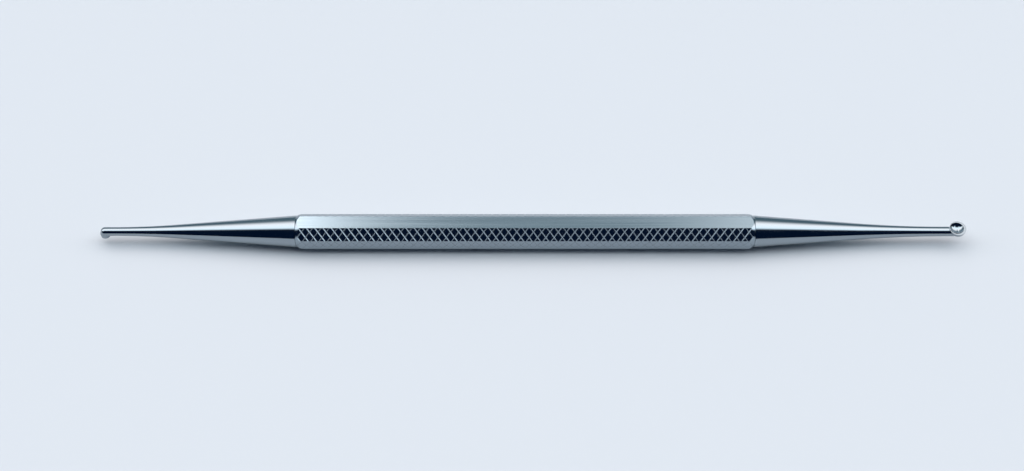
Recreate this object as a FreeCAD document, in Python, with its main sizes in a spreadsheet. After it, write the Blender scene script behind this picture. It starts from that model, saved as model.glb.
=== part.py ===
"""Double-ended round-cup curette: an octagonal handle and two pressed-in working ends.

Frame: +X runs along the handle towards the large cup, +Z is up. The origin is the middle of the
handle flat that the instrument lies on. Lengths are millimetres, angles are degrees.
"""

import FreeCAD
import Part
import math
import os

import Sketcher

Vector = FreeCAD.Vector
Rotation = FreeCAD.Rotation

# alias: (value, what it measures)
SIZES = {
    "handle_length": (73.9, "octagonal bar, end face to end face"),
    "across_flats": (5.35, "octagon, flat to flat"),
    "marking_relief": (0.05, "how far the plain top flat is ground below the other seven"),
    "end_radius": (2.53, "radius that the handle's ends are turned down to"),
    "end_bevel_length": (0.75, "length of the turned bevel at each end of the handle"),
    "socket_radius": (1.50, "bore for a working end's tang"),
    "socket_depth": (12.6, "bore depth without its drill point"),
    "socket_point_angle": (118.0, "drill point of the bore"),
    "socket_mouth": (0.25, "chamfer at the bore's mouth"),
    "tang_length": (12.0, "tang behind the seat"),
    "tang_lead": (0.40, "lead-in chamfer on the tang"),
    "tang_vent": (0.20, "depth of the flat that lets air out of the socket"),
    "seat_radius": (2.60, "radius of a shank where it meets the handle"),
    "seam_chamfer": (0.08, "edge break on a shank's seat, the visible seam"),
    "large_taper": (4.35, "half angle of the large shank's cone"),
    "large_neck_start": (31.2, "handle face to where the large taper has run out"),
    "large_neck_radius": (0.785, "slender neck behind the large cup"),
    "large_nose_distance": (32.4, "handle face to the centre of the neck's round end"),
    "large_cup_distance": (32.97, "handle face to the large cup's axis"),
    "large_cup_radius": (1.36, "ball that the large cup is cut from"),
    "large_cup_height": (0.87, "neck axis to the ball's centre"),
    "large_cup_rim": (0.05, "ball's centre to the large cup's rim plane"),
    "large_bowl_radius": (1.27, "inside of the large cup, a shallow bowl"),
    "large_bowl_lift": (0.68, "ball's centre up to the bowl's centre, which sets its depth"),
    "large_bowl_shift": (0.17, "how far the bowl sits towards the handle, thickening the toe"),
    "large_throat_fillet": (0.25, "blend from neck to cup"),
    "small_taper": (4.38, "half angle of the small shank's cone"),
    "small_neck_start": (30.0, "handle face to where the small taper has run out"),
    "small_neck_radius": (0.71, "slender neck behind the small cup"),
    "small_nose_distance": (31.05, "handle face to the centre of the neck's round end"),
    "small_cup_distance": (31.1, "handle face to the small cup's axis"),
    "small_cup_radius": (0.80, "ball that the small cup is cut from"),
    "small_cup_height": (0.45, "neck axis to the ball's centre"),
    "small_cup_rim": (0.45, "ball's centre to the small cup's rim plane"),
    "small_bowl_radius": (0.62, "inside of the small cup"),
    "small_bowl_lift": (0.10, "ball's centre up to the bowl's centre, which sets its depth"),
    "small_bowl_shift": (0.05, "how far the bowl sits towards the handle, thickening the toe"),
    "small_throat_fillet": (0.15, "blend from neck to cup"),
}

CUT_CLEARANCE = 0.5  # how far a cutting profile runs past the metal it removes


def size(alias):
    """Value of a driving dimension, for a sketch's first guess before its expressions take over."""
    return SIZES[alias][0]


def make_sheet(doc):
    """Spreadsheet of driving dimensions: alias in column A, value in B, meaning in C."""
    sheet = doc.addObject("Spreadsheet::Sheet", "Sizes")
    for row, (alias, (value, meaning)) in enumerate(SIZES.items(), start=1):
        sheet.set(f"A{row}", alias)
        sheet.set(f"B{row}", str(value))
        sheet.setAlias(f"B{row}", alias)
        sheet.set(f"C{row}", meaning)
    doc.recompute()
    return sheet


def origin_plane(body, role):
    """One of the body's own origin planes or axes."""
    return next(item for item in body.Origin.OriginFeatures if item.Role == role)


def make_sketch(body, name, plane, offset=None):
    """Sketch on one of the body's origin planes, shifted in that plane by expressions in offset."""
    sketch = body.newObject("Sketcher::SketchObject", name)
    sketch.AttachmentSupport = [(origin_plane(body, plane), "")]
    sketch.MapMode = "FlatFace"
    for path, expression in (offset or {}).items():
        sketch.setExpression(f"AttachmentOffset.{path}", expression)
    return sketch


def constrain(sketch, kind, *where, name=None, value=None, expression=None):
    """Adds a constraint, and drives it from the sheet if an expression is given."""
    arguments = list(where) if value is None else [*where, value]
    index = sketch.addConstraint(Sketcher.Constraint(kind, *arguments))
    if name:
        sketch.renameConstraint(index, name)
    if expression:
        sketch.setExpression(f"Constraints[{index}]", expression)
    return index


def add_outline(sketch, points):
    """Closed polygon through the points. Returns the index of each side, which starts at its point."""
    sides = []
    for start, end in zip(points, points[1:] + points[:1]):
        line = Part.LineSegment(Vector(*start, 0), Vector(*end, 0))
        sides.append(sketch.addGeometry(line, False))
    for this, following in zip(sides, sides[1:] + sides[:1]):
        constrain(sketch, "Coincident", this, 2, following, 1)
    return sides


def place_corner(sketch, side, across, up):
    """Drives a side's start point from two (value, expression) pairs measured from the origin."""
    for kind, (value, expression) in (("DistanceX", across), ("DistanceY", up)):
        if value == 0:
            constrain(sketch, "PointOnObject", side, 1, -2 if kind == "DistanceX" else -1)
        else:
            constrain(sketch, kind, -1, 1, side, 1, value=value, expression=expression)


def revolve(body, kind, name, sketch, axis):
    """Full turn of a sketch about one of its own axes: a Revolution adds, a Groove removes."""
    feature = body.newObject(f"PartDesign::{kind}", name)
    feature.Profile = sketch
    feature.ReferenceAxis = (sketch, [axis])
    feature.Angle = 360.0
    return feature


def checked_cut(doc, body, volume_before, what):
    """Recomputes, and stops if a cutting feature took nothing away."""
    doc.recompute()
    volume = body.Shape.Volume
    if not volume < volume_before - 1e-4:
        raise RuntimeError(f"{body.Label}: {what} removed nothing")
    return volume


# ---------------------------------------------------------------- handle


def add_octagon_bar(body):
    """Octagonal bar, flat side down, padded both ways from the middle."""
    sketch = make_sketch(body, "octagon", "YZ_Plane")
    corner_radius = size("across_flats") / 2 / math.cos(math.radians(22.5))
    angles = [math.radians(22.5 + 45 * k) for k in range(8)]
    corners = [(corner_radius * math.cos(a), corner_radius * math.sin(a)) for a in angles]
    sides = add_outline(sketch, corners)
    for side in sides[1:]:
        constrain(sketch, "Equal", sides[0], side)
    circle = Part.Circle(Vector(0, 0, 0), Vector(0, 0, 1), corner_radius)
    ring = sketch.addGeometry(circle, True)
    constrain(sketch, "Coincident", ring, 3, -1, 1)
    for side in sides:
        constrain(sketch, "PointOnObject", side, 1, ring)
    constrain(sketch, "Horizontal", sides[1])
    constrain(
        sketch, "Radius", ring, value=corner_radius,
        expression="Sizes.across_flats / 2 / cos(22.5 deg)",
    )
    bar = body.newObject("PartDesign::Pad", "bar")
    bar.Profile = sketch
    bar.Midplane = True
    bar.Length = size("handle_length")
    bar.setExpression("Length", "Sizes.handle_length")


def grind_marking_flat(body):
    """The plain flat on top: a full-length slice off the octagon."""
    sketch = make_sketch(body, "marking_slice", "YZ_Plane")
    low = size("across_flats") / 2 - size("marking_relief")
    reach = size("across_flats")
    sides = add_outline(sketch, [(-reach, low), (reach, low), (reach, reach), (-reach, reach)])
    constrain(sketch, "Symmetric", sides[0], 1, sides[0], 2, -2)
    constrain(sketch, "Horizontal", sides[2])
    for side in (sides[1], sides[3]):
        constrain(sketch, "Vertical", side)
    constrain(
        sketch, "DistanceY", -1, 1, sides[0], 1, value=low,
        expression="Sizes.across_flats / 2 - Sizes.marking_relief",
    )
    constrain(
        sketch, "DistanceY", -1, 1, sides[2], 1, value=reach, expression="Sizes.across_flats",
    )
    constrain(
        sketch, "DistanceX", -1, 1, sides[0], 2, value=reach, expression="Sizes.across_flats",
    )
    cut = body.newObject("PartDesign::Pocket", "marking_flat")
    cut.Profile = sketch
    cut.Type = "ThroughAll"
    cut.Midplane = True


def bevel_handle_end(body, side):
    """Turned bevel at one end, from the end radius out past the octagon's corners."""
    sketch = make_sketch(body, f"bevel_profile_{'large' if side > 0 else 'small'}", "XZ_Plane")
    half = size("handle_length") / 2
    corner = size("across_flats") / 2 / math.cos(math.radians(22.5))
    slope = (corner - size("end_radius")) / size("end_bevel_length")
    past = half + CUT_CLEARANCE
    low = size("end_radius") - slope * CUT_CLEARANCE
    inner = half - size("end_bevel_length") * 2
    high = size("end_radius") + slope * size("end_bevel_length") * 2
    sides = add_outline(sketch, [(side * past, low), (side * inner, high), (side * past, high)])
    sign = "" if side > 0 else "-"
    rise = "(Sizes.across_flats / 2 / cos(22.5 deg) - Sizes.end_radius) / Sizes.end_bevel_length"
    past_x = f"{sign}(Sizes.handle_length / 2 + {CUT_CLEARANCE})"
    inner_x = f"{sign}(Sizes.handle_length / 2 - 2 * Sizes.end_bevel_length)"
    high_y = f"Sizes.end_radius + 2 * Sizes.end_bevel_length * {rise}"
    low_y = f"Sizes.end_radius - {CUT_CLEARANCE} * {rise}"
    place_corner(sketch, sides[0], (side * past, past_x), (low, low_y))
    place_corner(sketch, sides[1], (side * inner, inner_x), (high, high_y))
    place_corner(sketch, sides[2], (side * past, past_x), (high, high_y))
    revolve(body, "Groove", f"bevel_{'large' if side > 0 else 'small'}", sketch, "H_Axis")


def bore_socket(body, side):
    """Blind drilled socket with a chamfered mouth, turned out of one end of the handle."""
    end = "large" if side > 0 else "small"
    sketch = make_sketch(body, f"socket_profile_{end}", "XZ_Plane")
    half = size("handle_length") / 2
    radius, depth, mouth = size("socket_radius"), size("socket_depth"), size("socket_mouth")
    point = radius / math.tan(math.radians(size("socket_point_angle") / 2))
    sign = "" if side > 0 else "-"
    half_x = "Sizes.handle_length / 2"
    point_x = "Sizes.socket_radius / tan(Sizes.socket_point_angle / 2 * 1 deg)"
    corners = [
        ((half + CUT_CLEARANCE, f"{half_x} + {CUT_CLEARANCE}"), (0, None)),
        (
            (half + CUT_CLEARANCE, f"{half_x} + {CUT_CLEARANCE}"),
            (radius + mouth, "Sizes.socket_radius + Sizes.socket_mouth"),
        ),
        ((half, half_x), (radius + mouth, "Sizes.socket_radius + Sizes.socket_mouth")),
        ((half - mouth, f"{half_x} - Sizes.socket_mouth"), (radius, "Sizes.socket_radius")),
        ((half - depth, f"{half_x} - Sizes.socket_depth"), (radius, "Sizes.socket_radius")),
        ((half - depth - point, f"{half_x} - Sizes.socket_depth - {point_x}"), (0, None)),
    ]
    sides = add_outline(sketch, [(side * across[0], up[0]) for across, up in corners])
    for line, (across, up) in zip(sides, corners):
        place_corner(sketch, line, (side * across[0], f"{sign}({across[1]})"), up)
    revolve(body, "Groove", f"socket_{end}", sketch, "H_Axis")


def make_handle(doc):
    """Knurled-bar handle: octagon, plain marking flat, turned ends and a socket at each end."""
    body = doc.addObject("PartDesign::Body", "handle")
    body.Label = "handle"
    add_octagon_bar(body)
    doc.recompute()
    volume = body.Shape.Volume
    grind_marking_flat(body)
    volume = checked_cut(doc, body, volume, "marking flat")
    for side in (1, -1):
        bevel_handle_end(body, side)
        volume = checked_cut(doc, body, volume, "end bevel")
        bore_socket(body, side)
        volume = checked_cut(doc, body, volume, "socket")
    body.setExpression("Placement.Base.z", "Sizes.across_flats / 2")
    return body


# ---------------------------------------------------------------- working ends


def add_shank(body, end):
    """Tang, seat, cone, run-out arc and slender neck with a round end, turned about X.

    The cone's line is tangent to the arc, and the arc is tangent to the neck.
    """
    seat, seam = size("seat_radius"), size("seam_chamfer")
    tang, length, lead = size("socket_radius"), size("tang_length"), size("tang_lead")
    neck, neck_start = size(f"{end}_neck_radius"), size(f"{end}_neck_start")
    taper = math.radians(size(f"{end}_taper"))
    round_end = size(f"{end}_nose_distance")
    fall = seat - seam * math.tan(taper) - neck - (neck_start - seam) * math.tan(taper)
    arc_radius = -fall / (1 / math.cos(taper) - 1)
    arc_start = neck_start - arc_radius * math.sin(taper)
    arc_top = neck + arc_radius * (1 - math.cos(taper))

    sketch = make_sketch(body, f"{end}_shank_profile", "XZ_Plane")

    def line(start, finish):
        segment = Part.LineSegment(Vector(*start, 0), Vector(*finish, 0))
        return sketch.addGeometry(segment, False)

    def arc(middle, radius, low, high):
        circle = Part.Circle(Vector(*middle, 0), Vector(0, 0, 1), radius)
        return sketch.addGeometry(Part.ArcOfCircle(circle, low, high), False)

    back = line((-length, 0), (-length, tang - lead))
    lead_in = line((-length, tang - lead), (-length + lead, tang))
    tang_wall = line((-length + lead, tang), (0, tang))
    seat_face = line((0, tang), (0, seat - seam))
    seam_edge = line((0, seat - seam), (seam, seat))
    cone = line((seam, seat), (arc_start, arc_top))
    run_out = arc(
        (neck_start, neck + arc_radius), arc_radius, -math.pi / 2 - taper, -math.pi / 2,
    )
    neck_wall = line((neck_start, neck), (round_end, neck))
    nose = arc((round_end, 0), neck, 0, math.pi / 2)
    axis = line((round_end + neck, 0), (-length, 0))

    joints = [
        (back, 2, lead_in, 1),
        (lead_in, 2, tang_wall, 1),
        (tang_wall, 2, seat_face, 1),
        (seat_face, 2, seam_edge, 1),
        (seam_edge, 2, cone, 1),
        (nose, 1, axis, 1),
        (axis, 2, back, 1),
    ]
    for joint in joints:
        constrain(sketch, "Coincident", *joint)
    constrain(sketch, "Tangent", cone, 2, run_out, 1)
    constrain(sketch, "Tangent", run_out, 2, neck_wall, 1)
    constrain(sketch, "Tangent", neck_wall, 2, nose, 2)
    for vertical in (back, seat_face):
        constrain(sketch, "Vertical", vertical)
    for horizontal in (tang_wall, neck_wall, axis):
        constrain(sketch, "Horizontal", horizontal)
    constrain(sketch, "PointOnObject", axis, 1, -1)
    constrain(sketch, "PointOnObject", nose, 3, -1)
    constrain(sketch, "PointOnObject", seat_face, 1, -2)
    measured = [
        ("DistanceX", (back, 1, -1, 1), length, "Sizes.tang_length"),
        ("DistanceX", (lead_in, 1, lead_in, 2), lead, "Sizes.tang_lead"),
        ("DistanceY", (lead_in, 1, lead_in, 2), lead, "Sizes.tang_lead"),
        ("DistanceY", (-1, 1, seat_face, 1), tang, "Sizes.socket_radius"),
        ("DistanceX", (seam_edge, 1, seam_edge, 2), seam, "Sizes.seam_chamfer"),
        ("DistanceY", (seam_edge, 1, seam_edge, 2), seam, "Sizes.seam_chamfer"),
        ("DistanceY", (-1, 1, cone, 1), seat, "Sizes.seat_radius"),
        ("DistanceX", (-1, 1, neck_wall, 1), neck_start, f"Sizes.{end}_neck_start"),
        ("DistanceY", (-1, 1, neck_wall, 1), neck, f"Sizes.{end}_neck_radius"),
        ("DistanceX", (-1, 1, neck_wall, 2), round_end, f"Sizes.{end}_nose_distance"),
    ]
    for kind, where, value, expression in measured:
        constrain(sketch, kind, *where, value=value, expression=expression)
    constrain(
        sketch, "Angle", -1, 1, cone, 1, value=-taper, expression=f"-Sizes.{end}_taper * 1 deg",
    )
    revolve(body, "Revolution", f"{end}_shank", sketch, "H_Axis")


def cup_sketch(body, end, name, shift="0", lift="0"):
    """Sketch in the cup's mid-plane: V is the cup's axis, and the origin is the ball's centre.

    Shift moves the origin back towards the handle, lift moves it up.
    """
    offset = {
        "Base.x": f"Sizes.{end}_cup_distance - {shift}",
        "Base.y": f"Sizes.{end}_cup_height + {lift}",
    }
    return make_sketch(body, f"{end}_{name}", "XZ_Plane", offset)


def add_round_bottom(sketch, radius, top):
    """Half section of a round-bottomed pot: quarter circle, straight wall and flat top.

    Both sizes are (value, expression) pairs, and the top is measured from the ball's centre.
    """
    circle = Part.Circle(Vector(0, 0, 0), Vector(0, 0, 1), radius[0])
    bottom = sketch.addGeometry(Part.ArcOfCircle(circle, -math.pi / 2, 0), False)
    corners = [(radius[0], 0), (radius[0], top[0]), (0, top[0]), (0, -radius[0])]
    wall, lid, axis = [
        sketch.addGeometry(Part.LineSegment(Vector(*a, 0), Vector(*b, 0)), False)
        for a, b in zip(corners, corners[1:])
    ]
    constrain(sketch, "Coincident", bottom, 3, -1, 1)
    constrain(sketch, "Coincident", bottom, 2, wall, 1)
    constrain(sketch, "Coincident", wall, 2, lid, 1)
    constrain(sketch, "Coincident", lid, 2, axis, 1)
    constrain(sketch, "Coincident", axis, 2, bottom, 1)
    constrain(sketch, "PointOnObject", bottom, 2, -1)
    constrain(sketch, "PointOnObject", axis, 2, -2)
    constrain(sketch, "Vertical", wall)
    constrain(sketch, "Horizontal", lid)
    constrain(sketch, "Vertical", axis)
    constrain(sketch, "Radius", bottom, value=radius[0], expression=radius[1])
    constrain(sketch, "DistanceY", -1, 1, wall, 2, value=top[0], expression=top[1])


def add_cup_blank(doc, body, end):
    """The ball that the cup is cut from, with a straight wall above it, blended into the neck."""
    sketch = cup_sketch(body, end, "ball_profile")
    radius = (size(f"{end}_cup_radius"), f"Sizes.{end}_cup_radius")
    top = (
        abs(size(f"{end}_cup_rim")) + CUT_CLEARANCE,
        f"abs(Sizes.{end}_cup_rim) + {CUT_CLEARANCE}",
    )
    add_round_bottom(sketch, radius, top)
    ball = revolve(body, "Revolution", f"{end}_ball", sketch, "V_Axis")
    doc.recompute()
    blend = body.newObject("PartDesign::Fillet", f"{end}_throat")
    blend.Base = (ball, throat_edges(ball.Shape, end))
    blend.Radius = size(f"{end}_throat_fillet")
    blend.setExpression("Radius", f"Sizes.{end}_throat_fillet")
    doc.recompute()


def face_rim(body, end):
    """Flat cut across the top of the ball, which leaves the rim."""
    sketch = cup_sketch(body, end, "rim_profile")
    radius, rim = size(f"{end}_cup_radius"), size(f"{end}_cup_rim")
    top = abs(rim) + 2 * CUT_CLEARANCE
    sides = add_outline(sketch, [(0, rim), (radius, rim), (radius, top), (0, top)])
    for side in (sides[0], sides[2]):
        constrain(sketch, "Horizontal", side)
    for side in (sides[1], sides[3]):
        constrain(sketch, "Vertical", side)
    constrain(sketch, "PointOnObject", sides[0], 1, -2)
    constrain(
        sketch, "DistanceX", -1, 1, sides[1], 1, value=radius,
        expression=f"Sizes.{end}_cup_radius",
    )
    constrain(
        sketch, "DistanceY", -1, 1, sides[1], 1, value=rim, expression=f"Sizes.{end}_cup_rim",
    )
    constrain(
        sketch, "DistanceY", -1, 1, sides[2], 1, value=top,
        expression=f"abs(Sizes.{end}_cup_rim) + {2 * CUT_CLEARANCE}",
    )
    revolve(body, "Groove", f"{end}_rim", sketch, "V_Axis")


def hollow_bowl(body, end):
    """The bowl, set a little towards the handle and higher than the ball."""
    sketch = cup_sketch(
        body, end, "bowl_profile", f"Sizes.{end}_bowl_shift", f"Sizes.{end}_bowl_lift",
    )
    radius = (size(f"{end}_bowl_radius"), f"Sizes.{end}_bowl_radius")
    top = (
        abs(size(f"{end}_cup_rim")) + CUT_CLEARANCE,
        f"abs(Sizes.{end}_cup_rim) + {CUT_CLEARANCE}",
    )
    add_round_bottom(sketch, radius, top)
    revolve(body, "Groove", f"{end}_bowl", sketch, "V_Axis")


def add_cup(doc, body, end):
    """Cup in three steps: ball, rim, bowl."""
    add_cup_blank(doc, body, end)
    volume = body.Shape.Volume
    face_rim(body, end)
    volume = checked_cut(doc, body, volume, "rim")
    hollow_bowl(body, end)
    checked_cut(doc, body, volume, "bowl")


def throat_edges(shape, end):
    """Names of the creases where the neck meets the ball, all lower than the ball's centre."""
    cup_x = size(f"{end}_cup_distance")
    names = []
    for number, edge in enumerate(shape.Edges, start=1):
        middle = edge.valueAt((edge.FirstParameter + edge.LastParameter) / 2)
        near_cup = abs(middle.x - cup_x) < 1.2 * size(f"{end}_cup_radius")
        faces = shape.ancestorsOfType(edge, Part.Face)
        crease = len(faces) == 2 and not faces_tangent(edge, faces)
        if near_cup and middle.z < size(f"{end}_cup_height") and crease:
            names.append(f"Edge{number}")
    return names


def faces_tangent(edge, faces):
    """True if two faces share the same normal at the middle of their common edge."""
    middle = edge.valueAt((edge.FirstParameter + edge.LastParameter) / 2)
    normals = [face.normalAt(*face.Surface.parameter(middle)) for face in faces]
    return abs(normals[0].dot(normals[1])) > 0.999


def cut_tang_vent(body, end):
    """Flat along the tang that lets air out of the blind socket as the tang is pressed in."""
    sketch = make_sketch(body, f"{end}_vent_profile", "XZ_Plane")
    length, radius = size("tang_length"), size("socket_radius")
    low = radius - size("tang_vent")
    past = length + CUT_CLEARANCE
    sides = add_outline(sketch, [(-past, low), (0, low), (0, radius), (-past, radius)])
    low_y = "Sizes.socket_radius - Sizes.tang_vent"
    past_x = f"-(Sizes.tang_length + {CUT_CLEARANCE})"
    place_corner(sketch, sides[0], (-past, past_x), (low, low_y))
    place_corner(sketch, sides[1], (0, None), (low, low_y))
    place_corner(sketch, sides[2], (0, None), (radius, "Sizes.socket_radius"))
    place_corner(sketch, sides[3], (-past, past_x), (radius, "Sizes.socket_radius"))
    vent = body.newObject("PartDesign::Pocket", f"{end}_vent")
    vent.Profile = sketch
    vent.Type = "ThroughAll"
    vent.Midplane = True


def make_working_end(doc, end, side):
    """One working end, turned and milled from one bar: tang, shank and cup.

    It is drawn pointing along +X with its cup open upwards. The end at -X is turned half round
    about Y, so that its cup opens downwards.
    """
    body = doc.addObject("PartDesign::Body", f"{end}_cup_end")
    body.Label = f"{end}_cup_end"
    add_shank(body, end)
    doc.recompute()
    volume = body.Shape.Volume
    cut_tang_vent(body, end)
    checked_cut(doc, body, volume, "tang vent")
    add_cup(doc, body, end)
    sign = "" if side > 0 else "-"
    body.Placement = FreeCAD.Placement(Vector(), Rotation(Vector(0, 1, 0), 0 if side > 0 else 180))
    body.setExpression("Placement.Base.x", f"{sign}Sizes.handle_length / 2")
    body.setExpression("Placement.Base.z", "Sizes.across_flats / 2")
    return body


# ---------------------------------------------------------------- build


def check(doc, bodies):
    """Stops if any object failed, or a sub-part is not one or more valid closed solids."""
    for item in doc.Objects:
        if {"Invalid", "Error"} & set(item.State):
            raise RuntimeError(f"{item.Label} failed: {item.State}")
    for body in bodies:
        shape = body.Shape
        if shape.isNull() or not shape.isValid() or not shape.Solids:
            raise RuntimeError(f"{body.Label} has no valid solid")


def main():
    doc = FreeCAD.newDocument("curette")
    make_sheet(doc)
    bodies = [
        make_handle(doc),
        make_working_end(doc, "large", 1),
        make_working_end(doc, "small", -1),
    ]
    doc.recompute()
    check(doc, bodies)
    os.makedirs("parts", exist_ok=True)
    for body in bodies:
        body.Shape.exportStep(f"parts/{body.Label}.step")
        box = body.Shape.BoundBox
        print(
            f"{body.Label}: {box.XLength:.2f} x {box.YLength:.2f} x {box.ZLength:.2f} mm,"
            f" {body.Shape.Volume:.1f} mm3, {len(body.Shape.Solids)} solid"
        )


main()
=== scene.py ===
"""Looks of the double-ended curette: knurled handle, polished ends, pale table and soft light."""

import math

import bmesh
import bpy
from mathutils import Matrix, Vector


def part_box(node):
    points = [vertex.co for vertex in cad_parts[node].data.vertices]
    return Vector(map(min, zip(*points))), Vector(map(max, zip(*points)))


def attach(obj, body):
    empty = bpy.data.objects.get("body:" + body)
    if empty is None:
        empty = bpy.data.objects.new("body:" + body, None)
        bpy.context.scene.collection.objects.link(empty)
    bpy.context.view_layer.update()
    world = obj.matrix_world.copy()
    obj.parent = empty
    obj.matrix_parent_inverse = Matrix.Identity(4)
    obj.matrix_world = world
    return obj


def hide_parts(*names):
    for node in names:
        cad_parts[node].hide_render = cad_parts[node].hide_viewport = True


MM = 0.001

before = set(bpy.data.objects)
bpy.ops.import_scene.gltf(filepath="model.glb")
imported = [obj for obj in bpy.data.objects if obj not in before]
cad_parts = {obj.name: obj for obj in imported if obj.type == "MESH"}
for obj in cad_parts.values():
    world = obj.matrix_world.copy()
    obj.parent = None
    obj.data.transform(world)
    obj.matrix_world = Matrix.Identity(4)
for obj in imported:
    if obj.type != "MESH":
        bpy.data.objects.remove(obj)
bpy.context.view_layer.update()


# ---------------------------------------------------------------- driving sizes, in millimetres

handle_low, handle_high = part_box("handle")
ACROSS_FLATS = (handle_high.y - handle_low.y) / MM
APOTHEM = ACROSS_FLATS / 2
AXIS_HEIGHT = APOTHEM
TOP_FLAT = handle_high.z / MM - AXIS_HEIGHT  # the marking flat's height above the axis
HANDLE_HALF = (handle_high.x - handle_low.x) / 2 / MM
FLAT_WIDTH = 2 * APOTHEM * math.tan(math.radians(22.5))
CORNER_RADIUS = APOTHEM / math.cos(math.radians(22.5))

KNURL_LONG_PITCH = 1.33  # diamond to diamond along the handle
KNURL_ROUND_PITCH = 1.81  # diamond to diamond around the handle
KNURL_SQUARE_PITCH = KNURL_LONG_PITCH * KNURL_ROUND_PITCH / math.hypot(KNURL_LONG_PITCH, KNURL_ROUND_PITCH)
KNURL_GROOVE_WIDTH = 0.17
KNURL_DEPTH = 0.040
GROOVE_HALF = KNURL_GROOVE_WIDTH / 2 / KNURL_SQUARE_PITCH  # as a share of the pitch across the groove

SKIN_OVERHANG = 0.2  # knurled sheet past each end, which the turned blank cuts off
SKIN_LIP = 0.45  # knurled sheet past the top corners, which grinding takes off
SKIN_LENGTH = HANDLE_HALF + SKIN_OVERHANG
SKIN_START = 0.5 * FLAT_WIDTH - SKIN_LIP
SKIN_END = 7.5 * FLAT_WIDTH + SKIN_LIP

END_RADIUS = 2.53  # handle's end face
END_BEVEL_LENGTH = 0.75
BLANK_MARGIN = 0.3  # turned blank outside the octagon's corners
SOCKET_RADIUS = 1.50
SOCKET_DEPTH = 12.6
SOCKET_POINT_ANGLE = 118.0  # drill point
SOCKET_MOUTH = 0.25  # chamfer

TANG_LENGTH = 12.0
TANG_LEAD = 0.40  # chamfer
SEAT_RADIUS = 2.60  # shank against the handle's end face
SEAM_CHAMFER = 0.08

# Both ends, measured from the handle's end face and from the neck's axis: taper is the cone's half
# angle, the ball is what a cup is cut from, rim and bowl_lift are heights above the ball's centre,
# and bowl_shift is how far the bowl sits back from the ball's axis.
LARGE = {
    "node": "large_cup_end", "side": 1, "taper": 4.35, "neck_start": 31.2, "neck_radius": 0.785,
    "nose_distance": 32.4, "cup_distance": 32.97, "cup_radius": 1.36, "cup_height": 0.87,
    "cup_rim": 0.05, "bowl_radius": 1.27, "bowl_lift": 0.68, "bowl_shift": 0.17,
}
SMALL = {
    "node": "small_cup_end", "side": -1, "taper": 4.38, "neck_start": 30.0, "neck_radius": 0.71,
    "nose_distance": 31.05, "cup_distance": 31.1, "cup_radius": 0.80, "cup_height": 0.45,
    "cup_rim": 0.45, "bowl_radius": 0.62, "bowl_lift": 0.10, "bowl_shift": 0.05,
}
TOOL_CLEARANCE = 0.5  # cutting tools reach this far past the work
FACE_MILL_MARGIN = 0.001  # and the face mill this much past the ball's side

BAR_SEGMENTS = 192
SHANK_SEGMENTS = 128
CUP_SEGMENTS = 128
RUN_OUT_STEPS = 60
NOSE_STEPS = 16
CUP_STEP = 3  # degrees
ON_PLANE = 1e-5
ON_CUT = 1e-6


# ---------------------------------------------------------------- light

# The sky is set by the angle round the handle's axis, in degrees from the far horizon up over the
# top, and by how far a direction points left or right, from 0 to 1.
SKY_STRENGTH = 2.75
WALL_COLOUR = (0.075, 0.115, 0.135)
PANEL_FAR_COLOUR = (1.04, 0.97, 0.95)
PANEL_NEAR_COLOUR = (0.90, 0.99, 1.04)
DARK_COLOUR = (0.001, 0.005, 0.016)
PANEL_TINT = (60, 110)  # from the far colour to the near one
PANEL_FAR_EDGE = (47, 89)  # from the wall to the panel
PANEL_NEAR_EDGE = (94, 115)  # from the panel to the dark side
BOW = 17  # how much further the panel reaches on either side of its middle
BOW_LEFT = (0.03, 0.145)
BOW_RIGHT = (0.07, 0.16)
TONGUE = 45  # how much further it reaches in a narrow tongue on the left
TONGUE_SPAN = (0.106, 0.124, 0.16, 0.22)
LEFT_WING = 10  # how much further it reaches toward the viewer on the left
LEFT_WING_SPAN = (0.34, 0.45, 0.50, 0.68)
RIGHT_WING = 21
RIGHT_WING_SPAN = (0.32, 0.44, 0.46, 0.72)
LAMP_STRENGTH = 1.6  # small lamp on the left, on top of the sky's strength
LAMP_SPAN = (0.120, 0.134, 0.16, 0.20)
LAMP_ANGLES = (35, 47, 66, 78)

CAMERA_ELEVATION = 55.5
CAMERA_DISTANCE = 275
CAMERA_TARGET = (-2.11, -0.79, AXIS_HEIGHT)
CAMERA_LENS = 59.8
SENSOR_WIDTH = 36
TABLE_HALF = 1500


# ---------------------------------------------------------------- mesh helpers


def new_object(name, bm):
    """Mesh object from a bmesh in millimetres, at the row frame's origin."""
    bmesh.ops.recalc_face_normals(bm, faces=bm.faces[:])
    mesh = bpy.data.meshes.new(name)
    bm.to_mesh(mesh)
    bm.free()
    mesh.transform(Matrix.Scale(MM, 4))
    obj = bpy.data.objects.new(name, mesh)
    bpy.context.scene.collection.objects.link(obj)
    return obj


def lathe(profile, segments, axis="X"):
    """Closed bmesh turned from (along, radius) points about X or Z. The first and last radius are 0."""
    bm = bmesh.new()
    rings = []
    for along, radius in profile:
        if radius == 0:
            rings.append([bm.verts.new(turned(along, 0, 0, axis))])
            continue
        ring = []
        for k in range(segments):
            angle = 2 * math.pi * k / segments
            ring.append(bm.verts.new(turned(along, radius, angle, axis)))
        rings.append(ring)
    for near, far in zip(rings, rings[1:]):
        for k in range(segments):
            following = (k + 1) % segments
            if len(near) == 1:
                bm.faces.new((near[0], far[k], far[following]))
            elif len(far) == 1:
                bm.faces.new((near[k], far[0], near[following]))
            else:
                bm.faces.new((near[k], far[k], far[following], near[following]))
    return bm


def turned(along, radius, angle, axis):
    """Point of a turned surface."""
    if axis == "X":
        return (along, radius * math.sin(angle), radius * math.cos(angle))
    return (radius * math.cos(angle), radius * math.sin(angle), along)


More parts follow.
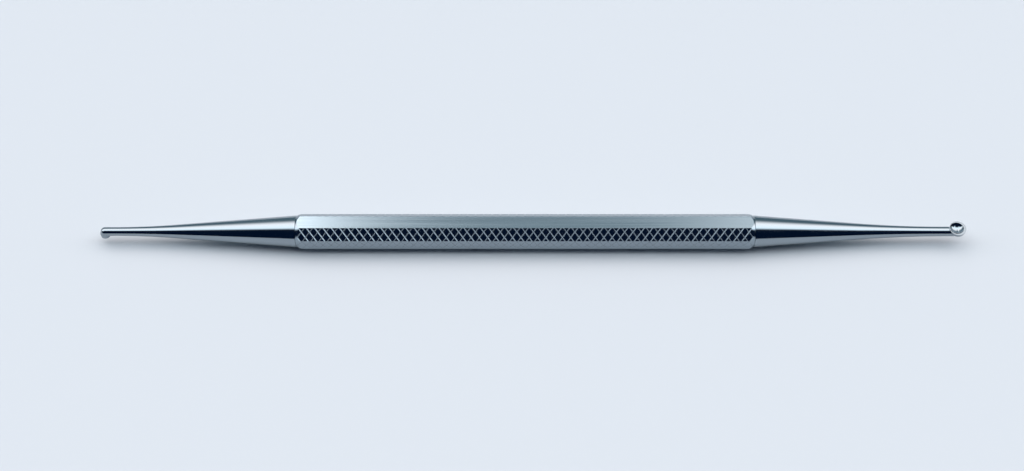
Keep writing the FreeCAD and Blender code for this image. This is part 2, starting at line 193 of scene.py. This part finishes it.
def arc_points(middle, radius, start, end, count):
    """Points of an arc in the profile's plane, angles in degrees."""
    points = []
    for k in range(count + 1):
        angle = math.radians(start + (end - start) * k / count)
        points.append((middle[0] + radius * math.cos(angle), middle[1] + radius * math.sin(angle)))
    return points


def shift(bm, offset):
    """Moves a whole bmesh."""
    bmesh.ops.translate(bm, verts=bm.verts[:], vec=Vector(offset))


def boolean(obj, tool, operation):
    """Applies an exact boolean and removes the tool."""
    modifier = obj.modifiers.new("boolean", "BOOLEAN")
    modifier.object = tool
    modifier.operation = operation
    modifier.solver = "EXACT"
    bpy.context.view_layer.update()
    evaluated = obj.evaluated_get(bpy.context.evaluated_depsgraph_get())
    result = bpy.data.meshes.new_from_object(evaluated)
    obj.modifiers.clear()
    obj.data = result
    bpy.data.objects.remove(tool)


def smooth_by_angle(obj, degrees):
    """Smooth shading, with every edge sharper than the angle kept crisp."""
    bm = bmesh.new()
    bm.from_mesh(obj.data)
    limit = math.radians(degrees)
    for face in bm.faces:
        face.smooth = True
    for edge in bm.edges:
        edge.smooth = len(edge.link_faces) == 2 and edge.calc_face_angle(math.pi) < limit
    bm.to_mesh(obj.data)
    bm.free()


# ---------------------------------------------------------------- handle


def lattice(u, v):
    """Counts across the two groove families. A groove runs wherever either count is whole."""
    along, around = u / KNURL_LONG_PITCH, v / KNURL_ROUND_PITCH
    return along + around, along - around


def sheet_point(p, q):
    """Where two counts meet, as a distance along the handle and a distance around it."""
    return (p + q) / 2 * KNURL_LONG_PITCH, (p - q) / 2 * KNURL_ROUND_PITCH


def knurl_lines(low, high):
    """Break points of a groove family between two limits: both lips and the bottom of each groove."""
    lines = []
    for k in range(math.floor(low), math.ceil(high) + 1):
        lines += [k - GROOVE_HALF, float(k), k + GROOVE_HALF]
    return lines


def groove_depth(count):
    """0 on the land, 1 at the bottom of a V groove."""
    return max(0.0, 1.0 - abs(count - round(count)) / GROOVE_HALF)


def knurl_cell(bm, corners, ring):
    """A land or a groove's wall as one face. Where two grooves cross, two faces meet at the bottom."""
    i, j = corners[0]
    if i % 3 == 2 or j % 3 == 2:
        bm.faces.new(ring)
        return
    bottom = corners.index((i + 1 - i % 3, j + 1 - j % 3))
    a, b, c, d = ring[bottom:] + ring[:bottom]
    bm.faces.new((a, b, c))
    bm.faces.new((a, c, d))


def knurl_sheet():
    """Flat lattice of lands and grooves, with a ragged border."""
    p_lines = knurl_lines(lattice(-SKIN_LENGTH, SKIN_START)[0] - 1, lattice(SKIN_LENGTH, SKIN_END)[0] + 1)
    q_lines = knurl_lines(lattice(-SKIN_LENGTH, SKIN_END)[1] - 1, lattice(SKIN_LENGTH, SKIN_START)[1] + 1)
    margin = max(KNURL_LONG_PITCH, KNURL_ROUND_PITCH)
    bm = bmesh.new()
    grid = {}
    for i in range(len(p_lines) - 1):
        for j in range(len(q_lines) - 1):
            u, v = sheet_point(p_lines[i], q_lines[j])
            if abs(u) > SKIN_LENGTH + margin or not SKIN_START - margin < v < SKIN_END + margin:
                continue
            corners = [(i, j), (i + 1, j), (i + 1, j + 1), (i, j + 1)]
            for corner in corners:
                if corner not in grid:
                    place = sheet_point(p_lines[corner[0]], q_lines[corner[1]])
                    grid[corner] = bm.verts.new((*place, 0))
            knurl_cell(bm, corners, [grid[corner] for corner in corners])
    return bm


def slice_plane(bm, point, normal, clear=True):
    """Cuts along a plane, and removes what is in front of it if asked to."""
    geometry = bm.verts[:] + bm.edges[:] + bm.faces[:]
    bmesh.ops.bisect_plane(
        bm, geom=geometry, dist=ON_CUT, plane_co=point, plane_no=normal, clear_outer=clear,
    )


def knurled_skin():
    """Flat sheet of knurling, trimmed, and cut where it bends round the octagon's corners."""
    bm = knurl_sheet()
    slice_plane(bm, (SKIN_LENGTH, 0, 0), (1, 0, 0))
    slice_plane(bm, (-SKIN_LENGTH, 0, 0), (-1, 0, 0))
    slice_plane(bm, (0, SKIN_END, 0), (0, 1, 0))
    slice_plane(bm, (0, SKIN_START, 0), (0, -1, 0))
    for k in range(1, 7):
        slice_plane(bm, (0, (k + 0.5) * FLAT_WIDTH, 0), (0, 1, 0), clear=False)
    return bm


def wrap_round_octagon(bm):
    """Bends the sheet round the bar and sinks its grooves, in place. Flat 0 is the marking flat."""
    for vertex in bm.verts:
        u, v, _ = vertex.co
        depth = KNURL_DEPTH * max(groove_depth(count) for count in lattice(u, v))
        flat = min(7, max(1, round(v / FLAT_WIDTH)))
        along = v - flat * FLAT_WIDTH
        angle = math.radians(45 * flat)
        y = -APOTHEM * math.sin(angle) - along * math.cos(angle)
        z = APOTHEM * math.cos(angle) - along * math.sin(angle)
        shrink = 1 - depth / APOTHEM
        vertex.co = (u, y * shrink, z * shrink + AXIS_HEIGHT)


def on_plane(vertex, axis, value):
    """Whether a vertex lies where one coordinate has this value."""
    return abs(vertex.co[axis] - value) < ON_PLANE


def close_plane(bm, axis, value):
    """Fills the open edges that lie in a plane. Returns the new faces."""
    edges = [edge for edge in bm.edges if len(edge.link_faces) < 2]
    edges = [edge for edge in edges if all(on_plane(vertex, axis, value) for vertex in edge.verts)]
    return bmesh.ops.contextual_create(bm, geom=edges)["faces"]


def close_bar(bm):
    """Grinds the marking flat and closes the top and both ends."""
    level = AXIS_HEIGHT + TOP_FLAT
    slice_plane(bm, (0, 0, level), (0, 0, 1))
    limit = max(vertex.co.x for vertex in bm.verts)
    corners = {}
    for vertex in bm.verts:
        if on_plane(vertex, 2, level) and abs(abs(vertex.co.x) - limit) < ON_PLANE:
            corners[vertex.co.x > 0, vertex.co.y > 0] = vertex
    for right in (True, False):
        bm.edges.new((corners[right, True], corners[right, False]))
    for face in close_plane(bm, 2, level):
        face.material_index = 1
    for sign in (1, -1):
        close_plane(bm, 0, sign * limit)
    bmesh.ops.triangulate(bm, faces=[face for face in bm.faces if len(face.verts) > 4])


def handle_blank():
    """Turned blank: end faces, end bevels and both sockets. The bar is whatever is inside it."""
    point = SOCKET_RADIUS / math.tan(math.radians(SOCKET_POINT_ANGLE / 2))
    rise = (CORNER_RADIUS - END_RADIUS) / END_BEVEL_LENGTH
    outside = CORNER_RADIUS + BLANK_MARGIN
    half_profile = [
        (HANDLE_HALF - SOCKET_DEPTH - point, 0),
        (HANDLE_HALF - SOCKET_DEPTH, SOCKET_RADIUS),
        (HANDLE_HALF - SOCKET_MOUTH, SOCKET_RADIUS),
        (HANDLE_HALF, SOCKET_RADIUS + SOCKET_MOUTH),
        (HANDLE_HALF, END_RADIUS),
        (HANDLE_HALF - (outside - END_RADIUS) / rise, outside),
    ]
    mirrored = [(-along, radius) for along, radius in reversed(half_profile)]
    bm = lathe(half_profile + mirrored, BAR_SEGMENTS)
    shift(bm, (0, 0, AXIS_HEIGHT))
    return new_object("handle_blank", bm)


def make_handle():
    """The knurled bar, turned to length with bevelled, bored ends."""
    bm = knurled_skin()
    wrap_round_octagon(bm)
    close_bar(bm)
    handle = new_object("knurled_handle", bm)
    handle.data.materials.append(knurled_steel())
    handle.data.materials.append(ground_steel())
    boolean(handle, handle_blank(), "INTERSECT")
    smooth_by_angle(handle, 15)
    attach(handle, "root")
    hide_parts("handle")
    return handle


# ---------------------------------------------------------------- working ends


def shank_profile(end):
    """Tang, seat, cone, run-out arc, neck and round nose: (along, radius) from the handle's face."""
    taper = math.radians(end["taper"])
    neck, start = end["neck_radius"], end["neck_start"]
    fall = math.tan(taper) * (start - SEAM_CHAMFER) - (SEAT_RADIUS - neck)
    arc_radius = fall / (math.sin(taper) * math.tan(taper) - 1 + math.cos(taper))
    nose = end["nose_distance"]
    profile = [
        (-TANG_LENGTH, 0),
        (-TANG_LENGTH, SOCKET_RADIUS - TANG_LEAD),
        (-TANG_LENGTH + TANG_LEAD, SOCKET_RADIUS),
        (0, SOCKET_RADIUS),
        (0, SEAT_RADIUS - SEAM_CHAMFER),
        (SEAM_CHAMFER, SEAT_RADIUS),
    ]
    for k in range(RUN_OUT_STEPS + 1):
        angle = taper * (1 - k / RUN_OUT_STEPS)
        along = start - arc_radius * math.sin(angle)
        profile.append((along, neck + arc_radius * (1 - math.cos(angle))))
    profile += arc_points((nose, 0), neck, 90, 0, NOSE_STEPS)
    profile[-1] = (nose + neck, 0)
    return profile


def round_bottom_profile(radius, top):
    """(height, radius) of a round-bottomed cup: hemisphere, straight wall and flat top."""
    profile = [(-radius, 0)]
    for degrees in range(CUP_STEP, 91, CUP_STEP):
        angle = math.radians(degrees)
        profile.append((-radius * math.cos(angle), radius * math.sin(angle)))
    return profile + [(top, radius), (top, 0)]


def cup_tool(name, end, profile, shift_back=0.0, lift=0.0):
    """Mesh turned about the cup's upright axis, its profile measured from the ball's centre."""
    bm = lathe(profile, CUP_SEGMENTS, "Z")
    shift(bm, (end["cup_distance"] - shift_back, 0, end["cup_height"] + lift))
    return new_object(name, bm)


def shape_cup(piece, end):
    """Adds the ball, faces it off for the rim and hollows it, all with the cup opening upwards."""
    rim = end["cup_rim"]
    top = abs(rim) + TOOL_CLEARANCE
    ball = cup_tool("ball", end, round_bottom_profile(end["cup_radius"], top))
    mill, mill_top = end["cup_radius"] + FACE_MILL_MARGIN, top + TOOL_CLEARANCE
    face_mill = cup_tool("face_mill", end, [(rim, 0), (rim, mill), (mill_top, mill), (mill_top, 0)])
    hollow = round_bottom_profile(end["bowl_radius"], top)
    bowl = cup_tool("bowl", end, hollow, end["bowl_shift"], end["bowl_lift"])
    boolean(piece, ball, "UNION")
    boolean(piece, face_mill, "DIFFERENCE")
    boolean(piece, bowl, "DIFFERENCE")


def fit_to_handle(piece, side):
    """Puts a finished end at its end of the handle. The left one is turned over, its cup downwards."""
    for vertex in piece.data.vertices:
        x, y, z = vertex.co
        vertex.co = (side * (x + HANDLE_HALF * MM), y, side * z + AXIS_HEIGHT * MM)


def make_working_end(end, name):
    """Tang, shank and cup as one polished piece."""
    piece = new_object(name, lathe(shank_profile(end), SHANK_SEGMENTS))
    shape_cup(piece, end)
    fit_to_handle(piece, end["side"])
    smooth_by_angle(piece, 30)
    piece.data.materials.clear()
    piece.data.materials.append(polished_steel())
    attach(piece, "root")
    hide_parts(end["node"])
    return piece


# ---------------------------------------------------------------- materials


def steel(name, colour, roughness):
    """Bare metal with its own node tree: returns the material, its tree and its shader."""
    material = bpy.data.materials.new(name)
    material.use_nodes = True
    tree = material.node_tree
    shader = tree.nodes["Principled BSDF"]
    shader.inputs["Base Color"].default_value = (*colour, 1)
    shader.inputs["Metallic"].default_value = 1.0
    shader.inputs["Roughness"].default_value = roughness
    return material, tree, shader


def noise(tree, scale, stretch, detail=2.0):
    """Noise over the object's own coordinates, stretched per axis."""
    place = tree.nodes.new("ShaderNodeTexCoord")
    mapping = tree.nodes.new("ShaderNodeMapping")
    mapping.inputs["Scale"].default_value = stretch
    texture = tree.nodes.new("ShaderNodeTexNoise")
    texture.inputs["Scale"].default_value = scale
    texture.inputs["Detail"].default_value = detail
    tree.links.new(place.outputs["Object"], mapping.inputs["Vector"])
    tree.links.new(mapping.outputs["Vector"], texture.inputs["Vector"])
    return texture


def vary(tree, texture, socket, low, high):
    """Drives a shader socket between two values with a texture."""
    spread = tree.nodes.new("ShaderNodeMapRange")
    spread.inputs["From Min"].default_value = 0.3
    spread.inputs["From Max"].default_value = 0.7
    spread.inputs["To Min"].default_value = low
    spread.inputs["To Max"].default_value = high
    tree.links.new(texture.outputs["Fac"], spread.inputs["Value"])
    tree.links.new(spread.outputs["Result"], socket)


def knurled_steel():
    """Rolled knurling: dull lands with a fine grain."""
    material, tree, shader = steel("knurled_steel", (0.28, 0.33, 0.37), 0.15)
    grain = noise(tree, 2500, (1, 1, 1))
    vary(tree, grain, shader.inputs["Roughness"], 0.10, 0.20)
    return material


def ground_steel():
    """The marking flat, ground along the handle."""
    material, tree, shader = steel("ground_steel", (0.275, 0.35, 0.40), 0.15)
    lines = noise(tree, 900, (0.03, 4, 4), 3.0)
    vary(tree, lines, shader.inputs["Roughness"], 0.10, 0.20)
    scratches = tree.nodes.new("ShaderNodeBump")
    scratches.inputs["Distance"].default_value = 0.8e-6
    tree.links.new(lines.outputs["Fac"], scratches.inputs["Height"])
    tree.links.new(scratches.outputs["Normal"], shader.inputs["Normal"])
    return material


def polished_steel():
    """Mirror polish, slightly worn."""
    material, tree, shader = steel("polished_steel", (0.29, 0.335, 0.37), 0.08)
    wear = noise(tree, 400, (0.3, 1, 1))
    vary(tree, wear, shader.inputs["Roughness"], 0.06, 0.12)
    return material


def table_top():
    """Plain pale table."""
    material = bpy.data.materials.new("table_top")
    material.use_nodes = True
    shader = material.node_tree.nodes["Principled BSDF"]
    shader.inputs["Base Color"].default_value = (0.580, 0.616, 0.660, 1)
    shader.inputs["Roughness"].default_value = 0.6
    shader.inputs["Specular IOR Level"].default_value = 0.2
    return material


# ---------------------------------------------------------------- stage


def make_floor():
    """Flat table under the instrument."""
    bm = bmesh.new()
    bmesh.ops.create_grid(bm, x_segments=8, y_segments=8, size=TABLE_HALF)
    floor = new_object("table", bm)
    floor.data.materials.append(table_top())
    return floor


def math_node(tree, operation, first, second=None):
    """Math node over sockets or numbers. Returns its output."""
    node = tree.nodes.new("ShaderNodeMath")
    node.operation = operation
    for socket, value in zip(node.inputs, (first, second)):
        if value is None:
            continue
        if isinstance(value, (int, float)):
            socket.default_value = value
        else:
            tree.links.new(value, socket)
    return node.outputs["Value"]


def smooth_step(tree, value, low, high):
    """0 below low, 1 above high, eased between."""
    node = tree.nodes.new("ShaderNodeMapRange")
    node.interpolation_type = "SMOOTHSTEP"
    node.inputs["From Min"].default_value = low
    node.inputs["From Max"].default_value = high
    tree.links.new(value, node.inputs["Value"])
    return node.outputs["Result"]


def bump_step(tree, value, rise_start, rise_end, fall_start, fall_end):
    """0 outside, 1 between the rise and the fall."""
    rise = smooth_step(tree, value, rise_start, rise_end)
    fall = smooth_step(tree, value, fall_start, fall_end)
    return math_node(tree, "MULTIPLY", rise, math_node(tree, "SUBTRACT", 1, fall))


def mix_colour(tree, factor, low, high):
    """Blend of two colours, each a tuple or a socket."""
    node = tree.nodes.new("ShaderNodeMix")
    node.data_type = "RGBA"
    tree.links.new(factor, node.inputs["Factor"])
    for socket, value in ((node.inputs[6], low), (node.inputs[7], high)):
        if isinstance(value, tuple):
            socket.default_value = (*value, 1)
        else:
            tree.links.new(value, socket)
    return node.outputs[2]


def sky_direction(tree):
    """Angle round the handle's axis, and how far the direction points left and right."""
    direction = tree.nodes.new("ShaderNodeTexCoord")
    split = tree.nodes.new("ShaderNodeSeparateXYZ")
    tree.links.new(direction.outputs["Generated"], split.inputs["Vector"])
    right, y, z = (split.outputs[axis] for axis in "XYZ")
    angle = math_node(tree, "MULTIPLY", math_node(tree, "ARCTAN2", z, y), math.degrees(1))
    left = math_node(tree, "MULTIPLY", right, -1)
    return angle, left, right


def past_far_edge(tree, angle, left, right):
    """0 over the wall, 1 over the panel, whose far edge bows away in the middle."""
    sides = math_node(tree, "ADD", smooth_step(tree, left, *BOW_LEFT), smooth_step(tree, right, *BOW_RIGHT))
    bow = math_node(tree, "MULTIPLY", sides, BOW)
    tongue = math_node(tree, "MULTIPLY", bump_step(tree, left, *TONGUE_SPAN), TONGUE)
    raised = math_node(tree, "ADD", math_node(tree, "ADD", angle, bow), tongue)
    return smooth_step(tree, raised, *PANEL_FAR_EDGE)


def past_near_edge(tree, angle, left, right):
    """0 over the panel and its two wings, 1 over the dark side."""
    right_wing = math_node(tree, "MULTIPLY", bump_step(tree, right, *RIGHT_WING_SPAN), RIGHT_WING)
    left_wing = math_node(tree, "MULTIPLY", bump_step(tree, left, *LEFT_WING_SPAN), LEFT_WING)
    lowered = math_node(tree, "SUBTRACT", math_node(tree, "SUBTRACT", angle, right_wing), left_wing)
    return smooth_step(tree, lowered, *PANEL_NEAR_EDGE)


def sky_strength(tree, angle, left):
    """The same everywhere but at the lamp that lights the marking flat's left end."""
    across = bump_step(tree, left, *LAMP_SPAN)
    spot = math_node(tree, "MULTIPLY", across, bump_step(tree, angle, *LAMP_ANGLES))
    return math_node(tree, "ADD", SKY_STRENGTH, math_node(tree, "MULTIPLY", spot, LAMP_STRENGTH))


def make_world():
    """Studio: a broad soft panel over the table, a dim wall behind it, darkness on the viewer's side."""
    world = bpy.data.worlds.new("studio")
    bpy.context.scene.world = world
    world.use_nodes = True
    tree = world.node_tree
    background = tree.nodes["Background"]
    angle, left, right = sky_direction(tree)
    tint = smooth_step(tree, angle, *PANEL_TINT)
    panel = mix_colour(tree, tint, PANEL_FAR_COLOUR, PANEL_NEAR_COLOUR)
    lit = mix_colour(tree, past_far_edge(tree, angle, left, right), WALL_COLOUR, panel)
    colour = mix_colour(tree, past_near_edge(tree, angle, left, right), lit, DARK_COLOUR)
    tree.links.new(colour, background.inputs["Color"])
    tree.links.new(sky_strength(tree, angle, left), background.inputs["Strength"])


def make_camera():
    """Looks down on the instrument from the front."""
    elevation = math.radians(CAMERA_ELEVATION)
    target = Vector(CAMERA_TARGET) * MM
    away = Vector((0, -math.cos(elevation), math.sin(elevation)))
    data = bpy.data.cameras.new("camera")
    data.lens = CAMERA_LENS
    data.sensor_width = SENSOR_WIDTH
    data.clip_start = 0.01
    camera = bpy.data.objects.new("camera", data)
    bpy.context.scene.collection.objects.link(camera)
    camera.location = target + CAMERA_DISTANCE * MM * away
    camera.rotation_euler = (math.pi / 2 - elevation, 0, 0)
    bpy.context.scene.camera = camera


def main():
    bpy.context.scene.view_settings.view_transform = "Standard"
    make_handle()
    make_working_end(LARGE, "large_cup_end_polished")
    make_working_end(SMALL, "small_cup_end_polished")
    make_floor()
    make_world()
    make_camera()


main()
